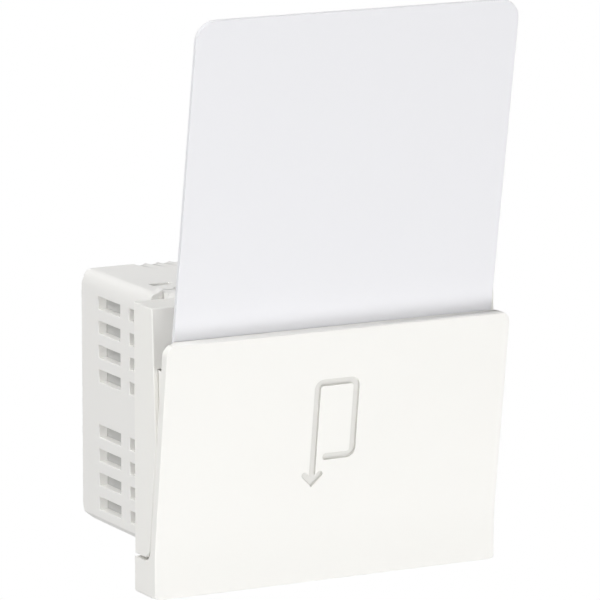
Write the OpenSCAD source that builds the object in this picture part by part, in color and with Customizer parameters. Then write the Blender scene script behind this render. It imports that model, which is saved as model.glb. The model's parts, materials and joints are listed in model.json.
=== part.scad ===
// Hotel key card switch for a 45 mm wall module.
// Frame: origin at the middle of the seat plane, where the front rests on the wall plate.
// +X is to the right, +Y goes into the wall and +Z is up. Millimetres.

/* [Key card] */
// Width of the card
card_w = 53.98; // [50:0.02:58]
// Height of the card
card_h = 85.6; // [75:0.1:95]
// Thickness of the card
card_t = 0.76; // [0.6:0.02:0.9]
// Radius of the card's corners
card_corner_r = 3.18; // [1:0.02:6]
// Angle that the standing card leans forward
card_lean = 9.6; // [8.6:0.1:10.6]
// Distance from the seat plane forward to the card's foot
card_setback = 3.16; // [3:0.02:3.6]

/* [Front panel] */
// Height of the front, from the tray's underside to the carrier's top
front_h = 44.4; // [43:0.1:46]
// Height of the panel, from the tray's underside to its top edge
panel_h = 39.46; // [37:0.02:41]
// Thickness of the panel plate
panel_t = 1.55; // [1.2:0.05:2]
// How much less the panel leans than the card
pocket_taper = 1.6; // [1:0.1:2.2]
// Radius of the bend between the leaning plate and its upright foot
bend_r = 42; // [30:1:60]
// Height of the upright foot below the bend
foot_h = 4; // [3:0.1:5]
// Radius of the panel's upper corners, seen from the front
panel_corner_r = 1.9; // [1:0.1:3]
// Radius of the panel's lower corners, seen from the front
panel_foot_r = 0.7; // [0.4:0.1:1.6]
// Radius of the tray's lower side edges
tray_edge_r = 0.2; // [0.1:0.1:0.6]
// Gap between the card and the panel's top edge
slot_gap = 0.6; // [0.5:0.05:0.7]
// Depth of the lip behind the panel's top edge that guides the card
slot_lip = 0.4; // [0.2:0.05:0.4]
// Height of the tray's end walls and back wall
tray_h = 5.5; // [5:0.1:5.8]
// Thickness of the tray's floor
tray_floor_t = 2.05; // [1.6:0.05:2.4]
// Thickness of the tray's back wall
tray_wall_t = 1.2; // [0.8:0.1:1.2]
// Thickness of the side ribs that guide the card's edges
rib_t = 1; // [0.6:0.1:1.2]
// Depth of the side ribs behind the plate
rib_depth = 3; // [2.6:0.1:3.4]
// Distance from the panel's top edge down to the side ribs
rib_drop = 4.9; // [4:0.1:7]

/* [Card sign] */
// Width of the engraved card outline
sign_w = 6.6; // [5:0.1:10]
// Height of the engraved card outline
sign_h = 11.87; // [10:0.01:14]
// Width of the engraved line
sign_line = 1.05; // [0.6:0.05:1.4]
// Depth of the engraving
sign_depth = 0.4; // [0.2:0.1:0.8]
// Radius of the outline's corners
sign_corner_r = 1; // [0.6:0.1:1.6]
// Distance from the panel's top edge down to the outline
sign_drop = 8.2; // [6:0.1:10]
// Opening in the outline at its lower left corner
sign_gap = 2.1; // [1.6:0.1:4]
// Length of the arrow below the outline
sign_shaft = 4; // [2.5:0.1:5]
// Width of the arrow's head, from barb to barb
arrow_w = 2.6; // [1.8:0.1:4]
// Width of the arrow's barbs
barb_line = 0.95; // [0.5:0.05:1]

/* [Carrier] */
// Thickness of the carrier at its top
carrier_top_t = 6.08; // [5.6:0.02:6.6]
// Distance from the carrier's top down to the kink in its front
kink_drop = 20.6; // [18:0.1:23]
// Radius of the carrier's lower front corner
carrier_corner_r = 1.75; // [1:0.05:2.4]
// Thickness of the side walls outside the ribs
cheek_t = 0.7; // [0.4:0.05:1.2]
// Thickness of the wall that the card lies against
bed_wall_t = 1.5; // [1.2:0.1:1.6]
// Gap between the card's back and its bed
bed_gap = 0.35; // [0.25:0.05:0.45]
// Thickness of the walls of hollow mouldings
wall_t = 1.4; // [1.2:0.1:1.6]

/* [Carriage] */
// Width of the sliding plate
plate_w = 12; // [10:0.5:13]
// Thickness of the sliding plate
plate_t = 1.3; // [1:0.1:1.4]
// Length of the sliding plate above the card's foot
plate_len = 17.5; // [17:0.1:18]
// Travel of the carriage
carriage_travel = 3; // [2:0.1:3]
// Thickness of the foot under the card
foot_t = 1.45; // [1.2:0.05:1.6]
// Width of the wedge that works the switch
wedge_w = 4.4; // [3:0.1:6]
// Travel of the plunger for each unit of carriage travel
plunger_ratio = 0.25; // [0.2:0.01:0.28]

/* [Return springs] */
// Number of curls in each spring
spring_curls = 9; // [6:1:9]
// Distance from curl to curl
spring_pitch = 1.15; // [1:0.05:1.2]
// Diameter of the spring wire
spring_wire = 0.4; // [0.3:0.05:0.5]
// Mean diameter of the curls
spring_d = 2.1; // [1.6:0.1:2.2]

/* [Leaf springs] */
// Width of each leaf
leaf_w = 4.6; // [3:0.1:6]
// Thickness of each leaf
leaf_t = 0.25; // [0.2:0.05:0.3]
// Length of the bowed stretch
leaf_len = 16; // [13:0.5:17]
// Height of the bow
leaf_bow = 1.2; // [1:0.05:1.3]
// Distance from the middle to each leaf
leaf_x = 17; // [15.5:0.1:21]
// Diameter of the rivets
rivet_d = 1.4; // [1:0.1:1.8]

/* [Mounting neck] */
// Side of the square flange that fills the module opening
module_w = 44.4; // [44:0.1:44.8]
// Thickness of the flange
flange_t = 2; // [1.6:0.1:2.2]
// Radius of the flange's corners
flange_corner_r = 2; // [1.6:0.1:3]
// Depth of the rim behind the flange
rim_depth = 2.2; // [1.6:0.1:2.6]
// Thickness of the rim behind the flange
rim_t = 1.2; // [0.8:0.1:1.4]
// Distance from the seat plane to the rear cover
neck_len = 14.2; // [13.4:0.1:15]
// Width of the notches in the neck's corners
notch_w = 2.7; // [2:0.1:3.2]
// Height of the notches in the neck's corners
notch_h = 4; // [3:0.1:4.6]
// Diameter of the posts under the circuit board
post_d = 4.4; // [3.8:0.1:4.8]

/* [Rear cover] */
// Width of the rear box
box_w = 41; // [40:0.1:42]
// Height of the box's top above the middle
box_top = 20.5; // [20:0.1:20.8]
// Depth of the box's underside below the middle
box_bottom = 19; // [18.8:0.1:19.6]
// Distance from the seat plane to the back of the box
box_rear = 36.1; // [35:0.1:42]
// Height of the slanted bands along the box's top corners
box_chamfer = 2.3; // [1:0.1:2.4]
// Size of the chamfers along the box's bottom corners
box_low_chamfer = 1; // [0.8:0.1:2]
// Radius of the box's lower rear edge
box_rear_r = 2.4; // [1:0.1:2.6]
// Radius of the box's upper rear edge
box_edge_r = 0.4; // [0.2:0.1:1]
// Length of the long vents
vent_len = 7.6; // [5:0.1:9]
// Height of each vent
vent_h = 1.95; // [1.2:0.05:2.6]
// Distance from vent to vent
vent_pitch = 3.83; // [3.4:0.01:3.9]
// Vents in each group
vent_count = 4; // [2:1:4]
// Distance from the middle to the first vent of each group
vent_first = 4.37; // [3.4:0.01:4.6]
// Distance from the back of the box to the long vents
vent_margin = 6.1; // [4:0.1:8]
// Length of the short vents
short_vent_len = 1.7; // [1.2:0.1:3.4]
// Width of the wall between long and short vents
vent_bar = 3.15; // [2:0.05:3.4]
// Thickness of the insulating liners behind the vents
liner_t = 0.8; // [0.5:0.1:1.2]
// Gap between the side walls and the liners
liner_gap = 0.05; // [0.05:0.05:1]
// Number of grip grooves on top
grip_count = 11; // [6:1:13]
// Distance from grip groove to grip groove
grip_pitch = 2.1; // [1.6:0.05:2.3]
// Length of the grip grooves
grip_len = 7.6; // [5:0.1:10]
// Depth of the grip grooves at the back
grip_depth = 0.42; // [0.2:0.02:0.6]
// Width of each latch window
latch_w = 3.4; // [2.4:0.1:3.4]
// Distance from the middle to each latch
latch_x = 15.2; // [14:0.1:15.6]

/* [Electronics] */
// Thickness of the circuit board
board_t = 1.6; // [1:0.1:2]
// Width of the microswitch
switch_w = 12.8; // [10:0.1:14]
// Height of the microswitch
switch_h = 5.8; // [5:0.1:6.4]
// Depth of the microswitch, from the board
switch_depth = 6.4; // [6:0.1:7]
// Diameter of the plunger
plunger_d = 1.8; // [1.4:0.1:2.2]
// Width of the relay
relay_w = 10.2; // [8:0.1:11]
// Length of the relay
relay_len = 20.4; // [16:0.1:21]
// Height of the relay above the board
relay_h = 15.6; // [10:0.1:19]
// Width of the film capacitor
film_w = 6; // [4:0.1:7]
// Length of the film capacitor
film_len = 13; // [10:0.1:15]
// Height of the film capacitor above the board
film_h = 11.5; // [8:0.1:16]
// Diameter of the electrolytic capacitor
can_d = 8; // [5:0.1:8.4]
// Height of the electrolytic capacitor above the board
can_h = 12; // [8:0.1:18]
// Diameter of the varistor disc
varistor_d = 7.4; // [5:0.1:8]
// Thickness of the varistor disc
varistor_t = 3.6; // [2:0.1:5]
// Diameter of the fuse resistor
resistor_d = 2.6; // [2:0.1:3]
// Length of the fuse resistor
resistor_len = 8; // [6:0.1:9]
// Length of the bridge rectifier
rectifier_len = 8; // [6:0.1:9]
// Width of the bridge rectifier
rectifier_w = 5; // [4:0.1:5.4]
// Height of the bridge rectifier above the board
rectifier_h = 2.6; // [1.6:0.1:4]
// Length of the timer chip
chip_len = 5; // [4:0.1:7]
// Width of the timer chip
chip_w = 4; // [3:0.1:5]
// Height of the timer chip above the board
chip_h = 1.6; // [1:0.1:2.4]
// Diameter of the locator lamp and its light guide
guide_d = 3.2; // [2.4:0.1:3.6]
// Height of the lamp's body above the board
lamp_h = 4.4; // [3:0.1:5]
// Distance from the box's ceiling down to the light guide's middle
guide_drop = 2.2; // [2.1:0.1:3]

/* [Terminals] */
// Number of terminals
terminal_count = 4; // [2:1:4]
// Distance from terminal to terminal
terminal_pitch = 7.5; // [7:0.1:7.8]
// Depth of the terminal block
block_depth = 11.5; // [10:0.1:12.5]
// Height of the terminal block
block_h = 10; // [9.6:0.1:11]
// Width of a wire clamp
clamp_w = 5.2; // [4.6:0.1:5.4]
// Side of a wire entry
wire_hole = 3.2; // [2.4:0.1:3.4]
// Diameter of a terminal screw's head
screw_head_d = 3.8; // [3:0.1:4]
// Diameter of a terminal screw's thread
screw_d = 2.5; // [2:0.1:3]

/* [Clearances] */
// Gap between the card's edge and a side rib
edge_gap = 0.26; // [0.2:0.02:0.4]
// Gap around pieces that slide
slide_gap = 0.3; // [0.2:0.05:0.35]
// Gap around pieces that plug together
plug_gap = 0.1; // [0.05:0.05:0.2]
// Gap between the side ribs and the carrier's cheeks
rib_gap = 0.15; // [0.15:0.05:0.35]
// Gap under the card and under the carriage at rest
rest_gap = 0.15; // [0.1:0.05:0.25]
// Gap between the panel's back and the carrier's sides
panel_gap = 0.4; // [0.3:0.05:0.5]
// Gap between the tray's walls and the carrier above them
tray_gap = 0.5; // [0.3:0.1:1]
// Relief of the carrier and the tray behind the flange
seat_relief = 0.2; // [0.1:0.05:0.3]
// Gap of the seam between the neck and the rear cover
seam_gap = 0.35; // [0.2:0.05:0.6]

/* [Hidden] */
$fn = 48;

// Overshoot of cutting shapes
cut = 1;

// Front: widths follow from the card, outwards
pocket_w = card_w + 2*edge_gap;
rib_out_w = pocket_w + 2*rib_t;
front_w = rib_out_w + 2*rib_gap + 2*cheek_t;
front_top = front_h/2;
front_bottom = -front_h/2;

// Card: its lower front edge
foot_lead = 0.8;
stop_gap = 2*rest_gap;
card_foot_y = -card_setback;
card_foot_z = front_bottom + tray_floor_t + stop_gap + (foot_t + rest_gap)*cos(card_lean)
    + foot_lead*sin(card_lean);

// Panel: placed by its top back edge, which the card leans on
panel_lean = card_lean - pocket_taper;
panel_top_z = front_bottom + panel_h;
edge_z = panel_top_z + panel_t*sin(panel_lean);
edge_y = card_foot_y - (slot_gap + (edge_z - card_foot_z)*sin(card_lean))/cos(card_lean);
panel_top_y = edge_y - panel_t*cos(panel_lean);
slot_lip_h = 3;
lip_z = edge_z + slot_lip*sin(panel_lean);
bend_z = front_bottom + foot_h;
plate_h = panel_top_z - bend_z - bend_r*sin(panel_lean);
slope_len = plate_h/cos(panel_lean);
lip_y = panel_top_y + plate_h*tan(panel_lean) + bend_r*(1 - cos(panel_lean));
bend_steps = 10;
tray_top = front_bottom + tray_h;
tray_floor = front_bottom + tray_floor_t;

// Carrier
carrier_bottom = tray_top + tray_gap;
corner_z = carrier_bottom + carrier_corner_r;
rib_low = corner_z + 1;
kink_z = front_top - kink_drop;
bed_n = card_t + bed_gap;
bed_back_n = bed_n + bed_wall_t;

// Carriage, in the card's own frame: n runs to the back and s runs up the card
plate_n = bed_back_n + slide_gap;
plate_back_n = plate_n + plate_t;
arm_t = 1.5;
arm_s = 4.5;
spring_n = bed_back_n + slide_gap + (spring_d + spring_wire)/2;
rail_t = 1;
rail_x = plate_w/2 + slide_gap;
spring_x = rail_x + rail_t + slide_gap + (spring_d + spring_wire)/2;
spring_len = spring_curls*spring_pitch;
spring_s = arm_s + arm_t + rest_gap;
anchor_s = spring_s + spring_len + rest_gap;
anchor_t = 1.4;
bay_x = spring_x + (spring_d + spring_wire)/2 + slide_gap;
bay_top_s = max(plate_len + carriage_travel, anchor_s + anchor_t) + slide_gap;
rail_s = arm_s + arm_t + carriage_travel + slide_gap;

spring_rings = 8;
spring_sides = 6;

// Leaf springs, in the card's own frame
leaf_s = 5.5;
leaf_tab = 3;
rivet_len = 1;
rivet_head_t = 0.5;
rivet_rim = 0.5;

// Wedge face: its slope makes the plunger move by plunger_ratio
wedge_s = 6.5;
wedge_lead = 0.3;
wedge_slope = (plunger_ratio - sin(card_lean))/cos(card_lean);
wedge_turn = atan(wedge_slope) + card_lean;
wedge_n = plate_back_n + wedge_lead;
wedge_top_n = wedge_n + (plate_len - wedge_s)*tan(wedge_turn);
wedge_y = card_foot_y - wedge_s*sin(card_lean) + wedge_n*cos(card_lean);
wedge_z = card_foot_z + wedge_s*cos(card_lean) + wedge_n*sin(card_lean);

// Switch and circuit board
switch_rise = 6.5;
switch_z = wedge_z + switch_rise;
contact_y = wedge_y + (switch_z - wedge_z)*wedge_slope;
plunger_y = contact_y + (plunger_d/2 + rest_gap)/cos(atan(wedge_slope));
plunger_out = 1.1;
switch_y = plunger_y - plunger_d/2 + plunger_out;
board_y = switch_y + switch_depth;
board_back = board_y + board_t;
mount_hole_d = 1.6;
mount_hole_in = 2;

// Neck and rear box
flange_y = -seat_relief;
flange_back = flange_y + flange_t;
box_in = box_w/2 - wall_t;
box_floor = -box_bottom + wall_t;
box_ceiling = box_top - wall_t;
cover_y = neck_len + seam_gap;
box_back_in = box_rear - wall_t;
window_x = bay_x + slide_gap;
window_low = tray_floor - 2*plug_gap;
window_high = card_foot_z + (plate_len + carriage_travel)*cos(card_lean)
    + wedge_top_n*sin(card_lean) + slide_gap;
vent_shift = 0.5;
vent_mid = (box_top - box_bottom)/2 - vent_shift;
leg_t = 1.2;
leg_x = box_in - slide_gap - leg_t;
leg_w = 8;
barb = 0.7;
barb_len = 1.2;
barb_inset = 1;
leg_y = board_y - slide_gap;
lip_t = 0.8;
lip_reach = 1.8;
lip_root = 0.2;
tongue_t = 1.3;
tongue_reach = 5.3;
tongue_y = cover_y + tongue_reach;
latch_slot = 1.9;
tongue_root = 2.4;
tongue_catch = 0.9;
seam_slit = 1;
seam_slit_x = latch_x - 0.4;
ear_reach = 1.9;
ear_x = box_w/2 - notch_w + 1.5*plug_gap;
ear_z = box_top - notch_h + 2*plug_gap;
corner_lug_h = 0.47;
corner_lug_len = 1.6;
corner_lug_inset = 0.9;
corner_lug_sink = 0.45;
corner_lug_flat = 0.15;
band_lean = 18;
blend_share = 0.5;
blend_steps = 8;
groove_r = 2;
lug_t = 1.1;
lug_w = 3.6;
lug_len = 4.4;
liner_x = box_in - liner_gap;
liner_y = neck_len + lip_reach + slide_gap;
liner_low = box_floor + box_low_chamfer - wall_t/2 + plug_gap;
liner_high = box_ceiling - box_chamfer + wall_t/2 - plug_gap;
post_x = box_in - slide_gap - post_d/2;
post_top = box_top - notch_h - wall_t - post_d/2;
post_bottom = -box_bottom + notch_h + wall_t + post_d/2;
pilot_d = 1.8;
board_screw_d = pilot_d - 2*plug_gap;
board_screw_grip = 4;
board_head_t = 1.4;
recess_len = 2.2;
recess_w = 0.4;

// Places of the components on the board
relay_x = -9.1;
relay_z = 3.4;
film_x = 0.4;
film_z = 4.6;
can_x = 9.4;
can_z = 9.2;
varistor_z = 0.4;
rectifier_z = -6.4;
resistor_x = 14.6;
resistor_z = 1;
lead_d = 0.6;
lead_h = 1.2;
lead_reach = 1;
ring = 0.3;
ring_rise = 1.6;
chip_legs = 4;
chip_leg_reach = 0.7;

// Terminals
block_w = terminal_count*terminal_pitch + wall_t;
block_y = box_back_in - plug_gap - block_depth;
block_top = box_floor + block_h;
clamp_y = block_y + wall_t + plug_gap;
clamp_len = block_depth - 3*wall_t;
clamp_top = block_top - wall_t/2 - plug_gap;
clamp_rise = 3;
clamp_low = box_floor + clamp_rise;
clamp_wall = (clamp_w - wire_hole)/2;
wire_z = clamp_top - clamp_wall - wire_hole/2;
screw_y = clamp_y + clamp_len/2;
screw_head_t = 1.8;
screw_slot_w = 0.6;
access_d = screw_head_d + 2*slide_gap;
leg_side = 0.9;
leg_z = (clamp_low + wire_z - wire_hole/2)/2;

// Light guide
collar_t = 1;
collar_rim = 0.7;
collar_d = guide_d + 2*collar_rim;
guide_z = min(box_ceiling - guide_drop, front_top - wall_t - collar_d/2 - slide_gap);
lamp_y = board_y - lamp_h;
lamp_base_t = 0.8;
lamp_base_rim = 0.2;

function bend_point(d, a) = [lip_y - bend_r + (bend_r + d)*cos(a), bend_z + (bend_r + d)*sin(a)];
function slope_point(d, up) = bend_point(d, panel_lean) + up*[-sin(panel_lean), cos(panel_lean)];
function panel_back_y(z) = edge_y + (edge_z - z)*tan(panel_lean);
function carrier_front_y(z) = panel_back_y(z) + panel_gap/cos(panel_lean);
kink_y = carrier_front_y(kink_z);
corner_y = carrier_front_y(corner_z) + carrier_corner_r/cos(panel_lean);
function upper_front_y(z) = -carrier_top_t
    + (kink_y + carrier_top_t)*(front_top - z)/(front_top - kink_z);
function terminal_x(i) = (i - (terminal_count - 1)/2)*terminal_pitch;

// Shared helpers

// A side profile drawn in (y, z), made w wide about the middle
module across(w) {
    rotate([90, 0, 90]) linear_extrude(w, center = true) children();
}

// A front outline drawn in (x, z), from y0 back to y1
module through(y0, y1) {
    translate([0, y1, 0]) rotate([90, 0, 0]) linear_extrude(y1 - y0) children();
}

// A box given by its corners
module block(low, high) {
    translate(low) cube(high - low);
}

// The children, and their mirror image on the other side
module both_sides() {
    children();
    mirror([1, 0, 0]) children();
}

// The children in the card's frame: x, n to the back and s up the card
module card_frame() {
    translate([0, card_foot_y, card_foot_z]) rotate([card_lean, 0, 0]) children();
}

// A round bar along Y
module bar(d, x, z, y0, y1) {
    translate([x, y0, z]) rotate([-90, 0, 0]) cylinder(d = d, h = y1 - y0);
}

// A rectangle from (x0, z0) to (x1, z1) with round corners
module round_rect(x0, z0, x1, z1, r) {
    translate([x0 + r, z0]) square([x1 - x0 - 2*r, z1 - z0]);
    translate([x0, z0 + r]) square([x1 - x0, z1 - z0 - 2*r]);
    for (x = [x0 + r, x1 - r], z = [z0 + r, z1 - r]) translate([x, z]) circle(r);
}

// The bent panel's side profile between two depths behind its front face
module bent_profile(d0, d1, drop = 0) {
    turns = [for (i = [0:bend_steps]) panel_lean*i/bend_steps];
    up = slope_len - drop;
    polygon(concat([[lip_y + d0, front_bottom]], [for (a = turns) bend_point(d0, a)],
        [slope_point(d0, up), slope_point(d1, up)],
        [for (i = [bend_steps:-1:0]) bend_point(d1, turns[i])], [[lip_y + d1, front_bottom]]));
}

// The engraved sign: a card outline whose left line runs on as an arrow pointing down
module sign_outline() {
    left = -sign_w/2;
    right = sign_w/2;
    low = -sign_h;
    gap_x = left + sign_gap;
    difference() {
        round_rect(left - sign_line/2, low - sign_line/2, right + sign_line/2, sign_line/2,
            sign_corner_r + sign_line/2);
        round_rect(left + sign_line/2, low + sign_line/2, right - sign_line/2, -sign_line/2,
            sign_corner_r - sign_line/2);
        translate([left - sign_line, low - sign_line]) square([gap_x - left + sign_line, 2*sign_line]);
    }
    translate([gap_x, low]) circle(d = sign_line);
    translate([left - sign_line/2, low - sign_shaft]) square([sign_line, sign_shaft + 2*sign_corner_r]);
    translate([left, low - sign_shaft]) for (turn = [45, 135]) arrow_barb(turn);
}

// One barb of the arrow, from its point out to a round end
module arrow_barb(turn) {
    reach = arrow_w/2/cos(45);
    rotate(turn) {
        translate([-barb_line/2, -barb_line/2]) square([reach + barb_line/2, barb_line]);
        translate([reach, 0]) circle(d = barb_line);
    }
}

// Sub-parts

module front_panel() {
    color([0.97, 0.965, 0.95]) difference() {
        union() {
            intersection() {
                union() {
                    across(front_w) bent_profile(0, panel_t);
                    across(pocket_w) intersection() {
                        bent_profile(panel_t - cut/2, panel_t + slot_lip);
                        translate([-front_h, edge_z - slot_lip_h]) square([2*front_h, front_h]);
                    }
                    both_sides() translate([pocket_w/2 + rib_t/2, 0, 0]) across(rib_t) rib_profile(0);
                }
                through(panel_top_y - 3*panel_t, cut) panel_outline();
            }
            intersection() {
                tray();
                through(lip_y, cut)
                    round_rect(-front_w/2, front_bottom, front_w/2, front_top, tray_edge_r);
            }
        }
        panel_sign();
        block([-module_w/2 - slide_gap, -seat_relief - plug_gap, front_bottom - cut],
            [module_w/2 + slide_gap, cut, tray_top + cut]);
        block([-window_x, -tray_wall_t - seat_relief - cut, tray_floor],
            [window_x, cut, tray_top + cut]);
    }
}

// Outline of the panel seen from the front, with smaller rounds below than above
module panel_outline() {
    round_rect(-front_w/2, front_bottom, front_w/2, 2*panel_corner_r, panel_foot_r);
    round_rect(-front_w/2, -2*panel_corner_r, front_w/2, lip_z, panel_corner_r);
}

// Side profile of a rib behind the panel, grown by a gap where the carrier makes room for it
module rib_profile(gap) {
    intersection() {
        bent_profile(panel_t - cut/2, panel_t + rib_depth + gap, rib_drop - gap);
        translate([-front_h, rib_low - gap]) square([2*front_h, front_h]);
    }
}

// Tray at the foot of the panel: floor, back wall and end walls that curve up into the plate
module tray() {
    back_y = -tray_wall_t - seat_relief;
    block([-front_w/2, lip_y + panel_t/2, front_bottom], [front_w/2, 0, tray_floor]);
    block([-front_w/2, back_y, front_bottom], [front_w/2, 0, tray_top]);
    both_sides() block([pocket_w/2, lip_y + panel_t/2, front_bottom], [front_w/2, 0, tray_top]);
    both_sides() translate([(pocket_w + front_w)/4, 0, 0]) across((front_w - pocket_w)/2) difference() {
        translate([lip_y + panel_t/2, tray_floor])
            square([corner_y - lip_y - panel_t/2, corner_z - tray_floor]);
        translate([corner_y, corner_z]) circle(carrier_corner_r + tray_gap);
    }
}

// Cutter for the sign, lying in the leaning face of the panel
module panel_sign() {
    translate([0, lip_y - bend_r, bend_z]) rotate([panel_lean, 0, 0])
        translate([0, bend_r + sign_depth, slope_len - sign_drop])
            rotate([90, 0, 0]) linear_extrude(sign_depth + cut) sign_outline();
}

module front_carrier() {
    color([0.93, 0.925, 0.91]) difference() {
        union() {
            difference() {
                across(front_w) carrier_profile();
                card_frame() block([-pocket_w/2 - plug_gap, -card_h, -card_h],
                    [pocket_w/2 + plug_gap, bed_n, card_h]);
                carrier_hollows();
            }
            carriage_rails();
            both_sides() carrier_leg();
        }
        both_sides() translate([pocket_w/2 + (rib_t + rib_gap - plug_gap)/2, 0, 0])
            across(rib_t + rib_gap + plug_gap) rib_profile(plug_gap);
        both_sides() card_frame() leaf_pocket();
        bar(guide_d + 2*plug_gap, 0, guide_z, -2*carrier_top_t, cut);
    }
}

// Side profile of the carrier, with its round lower front corner
module carrier_profile() {
    polygon([[0, carrier_bottom], [corner_y, carrier_bottom],
        [corner_y - carrier_corner_r*cos(panel_lean), corner_z - carrier_corner_r*sin(panel_lean)],
        [kink_y, kink_z], [-carrier_top_t, front_top], [0, front_top]]);
    translate([corner_y, corner_z]) circle(carrier_corner_r);
}

// Bay for the carriage, hollow of the thick top, relief for the flange and way out for the foot
module carrier_hollows() {
    hollow_low = card_foot_z + bay_top_s*cos(card_lean) + bed_back_n*sin(card_lean) + 2*wall_t;
    hollow_y = upper_front_y(front_top) + wall_t;
    card_frame() block([-bay_x, bed_back_n, -card_h], [bay_x, card_h, bay_top_s]);
    block([-leg_x, hollow_y, hollow_low], [leg_x, cut, front_top - wall_t]);
    block([-module_w/2 - slide_gap, -seat_relief, carrier_bottom - cut],
        [module_w/2 + slide_gap, cut, front_top + cut]);
    card_frame() block([-plate_w/2 - slide_gap, -card_h, -card_h],
        [plate_w/2 + slide_gap, bed_back_n + cut, carriage_travel + slide_gap]);
}

// Rails that hold the sliding plate, and the posts that the springs hang from
module carriage_rails() {
    lip_n = plate_back_n + slide_gap;
    card_frame() both_sides() {
        block([rail_x, bed_back_n - cut/2, rail_s], [rail_x + rail_t, lip_n + rail_t, bay_top_s]);
        block([rail_x - 2*rail_t, lip_n, rail_s], [rail_x + rail_t, lip_n + rail_t, bay_top_s]);
        block([rail_x, bed_back_n - cut/2, anchor_s], [bay_x, spring_n + spring_d/2, anchor_s + anchor_t]);
        block([rail_x, bed_back_n - cut/2, anchor_s], [bay_x + cut/2, spring_n, bay_top_s + cut/2]);
    }
}

// Snap leg that holds the carrier in the neck
module carrier_leg() {
    block([leg_x, -2*seat_relief, -leg_w/2], [leg_x + leg_t, leg_y, leg_w/2]);
    translate([leg_x + leg_t, leg_y, 0]) linear_extrude(leg_w - 2*barb_inset, center = true)
        polygon([[-leg_t/2, 0], [0, 0], [barb, -barb_len], [barb, -2*barb_len], [-leg_t/2, -2*barb_len]]);
}

// Pocket in the bed for one leaf spring and its rivet
module leaf_pocket() {
    floor_n = card_t + rest_gap + leaf_bow + leaf_t;
    block([leaf_x - leaf_w/2 - slide_gap, 0, leaf_s - leaf_tab - slide_gap],
        [leaf_x + leaf_w/2 + slide_gap, floor_n, leaf_s + leaf_len + carriage_travel]);
    translate([leaf_x, 0, leaf_s - leaf_tab/2]) rotate([-90, 0, 0])
        cylinder(d = rivet_d + 2*plug_gap, h = floor_n + rivet_len + plug_gap);
}

module key_card() {
    color([0.93, 0.93, 0.94]) card_frame()
        through(0, card_t) round_rect(-card_w/2, 0, card_w/2, card_h, card_corner_r);
}

module card_carriage() {
    arm_x = spring_x + spring_d/2;
    color([0.85, 0.86, 0.88]) card_frame() {
        block([-plate_w/2, plate_n, -rest_gap - foot_t], [plate_w/2, plate_back_n, plate_len]);
        block([-plate_w/2, -foot_lead, -rest_gap - foot_t], [plate_w/2, plate_back_n, -rest_gap]);
        block([-arm_x, plate_n, arm_s], [arm_x, spring_n + spring_d/2, arm_s + arm_t]);
        across(wedge_w) polygon([[plate_back_n - plate_t/2, wedge_s], [wedge_n, wedge_s],
            [wedge_top_n, plate_len], [plate_back_n - plate_t/2, plate_len]]);
    }
}

// Return springs: each is one wire, wound by a formula
function spring_point(k) = let (turn = 360*k/spring_rings)
    [spring_d/2*cos(turn), spring_d/2*sin(turn), spring_wire/2
        + (spring_len - spring_wire)*k/(spring_curls*spring_rings)];
function spring_ring(k) = let (turn = 360*k/spring_rings, c = spring_point(k))
    [for (j = [0:spring_sides - 1]) let (a = 360*j/spring_sides, out = spring_wire/2*cos(a))
        [c[0] + out*cos(turn), c[1] + out*sin(turn), c[2] + spring_wire/2*sin(a)]];
echo(least_gap_between_curls = (spring_len - spring_wire)/spring_curls - spring_wire);

module spring_coil() {
    last = spring_curls*spring_rings;
    points = [for (k = [0:last]) each spring_ring(k)];
    sides = [for (k = [0:last - 1], j = [0:spring_sides - 1])
        let (a = k*spring_sides + j, b = k*spring_sides + (j + 1)%spring_sides)
        each [[a, b, a + spring_sides], [b, b + spring_sides, a + spring_sides]]];
    start_cap = [for (j = [1:spring_sides - 2]) [0, j + 1, j]];
    end = last*spring_sides;
    end_cap = [for (j = [1:spring_sides - 2]) [end, end + j, end + j + 1]];
    polyhedron(points, concat(sides, start_cap, end_cap));
}

module return_springs() {
    color([0.75, 0.75, 0.77]) card_frame() both_sides()
        translate([spring_x, spring_n, spring_s]) spring_coil();
}

// Leaf springs: bowed strips that lean on the card's back
module card_leaf_springs() {
    bow_r = (leaf_len*leaf_len/4 + leaf_bow*leaf_bow)/(2*leaf_bow);
    crown_n = card_t + rest_gap;
    color([0.78, 0.78, 0.8]) card_frame() both_sides() translate([leaf_x, crown_n, leaf_s]) {
        across(leaf_w) intersection() {
            translate([bow_r, leaf_len/2]) difference() {
                circle(bow_r, $fn = 128);
                circle(bow_r - leaf_t, $fn = 128);
            }
            square([leaf_bow + leaf_t, leaf_len]);
        }
        difference() {
            block([-leaf_w/2, leaf_bow, -leaf_tab], [leaf_w/2, leaf_bow + leaf_t, 2*leaf_t]);
            translate([0, 0, -leaf_tab/2]) rotate([-90, 0, 0])
                cylinder(d = rivet_d + 2*plug_gap, h = leaf_bow + leaf_t + cut);
        }
    }
}

module leaf_rivets() {
    head_n = card_t + rest_gap + leaf_bow;
    color([0.7, 0.7, 0.72]) card_frame() both_sides()
        translate([leaf_x, head_n - rivet_head_t, leaf_s - leaf_tab/2]) rotate([-90, 0, 0]) {
            cylinder(d = rivet_d + 2*rivet_rim, h = rivet_head_t);
            cylinder(d = rivet_d, h = rivet_head_t + leaf_t + rivet_len);
        }
}

// Cross-section of the neck: a box with notched corners, drawn in by a margin
module neck_section(margin) {
    half = box_w/2 - margin;
    low = -box_bottom + margin;
    high = box_top - margin;
    translate([-half, low + notch_h]) square([2*half, high - low - 2*notch_h]);
    translate([-half + notch_w, low]) square([2*half - 2*notch_w, high - low]);
}

// Outline of the square flange, drawn in by a margin
module flange_outline(margin) {
    half = module_w/2 - margin;
    round_rect(-half, -half, half, half, flange_corner_r - margin);
}

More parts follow.
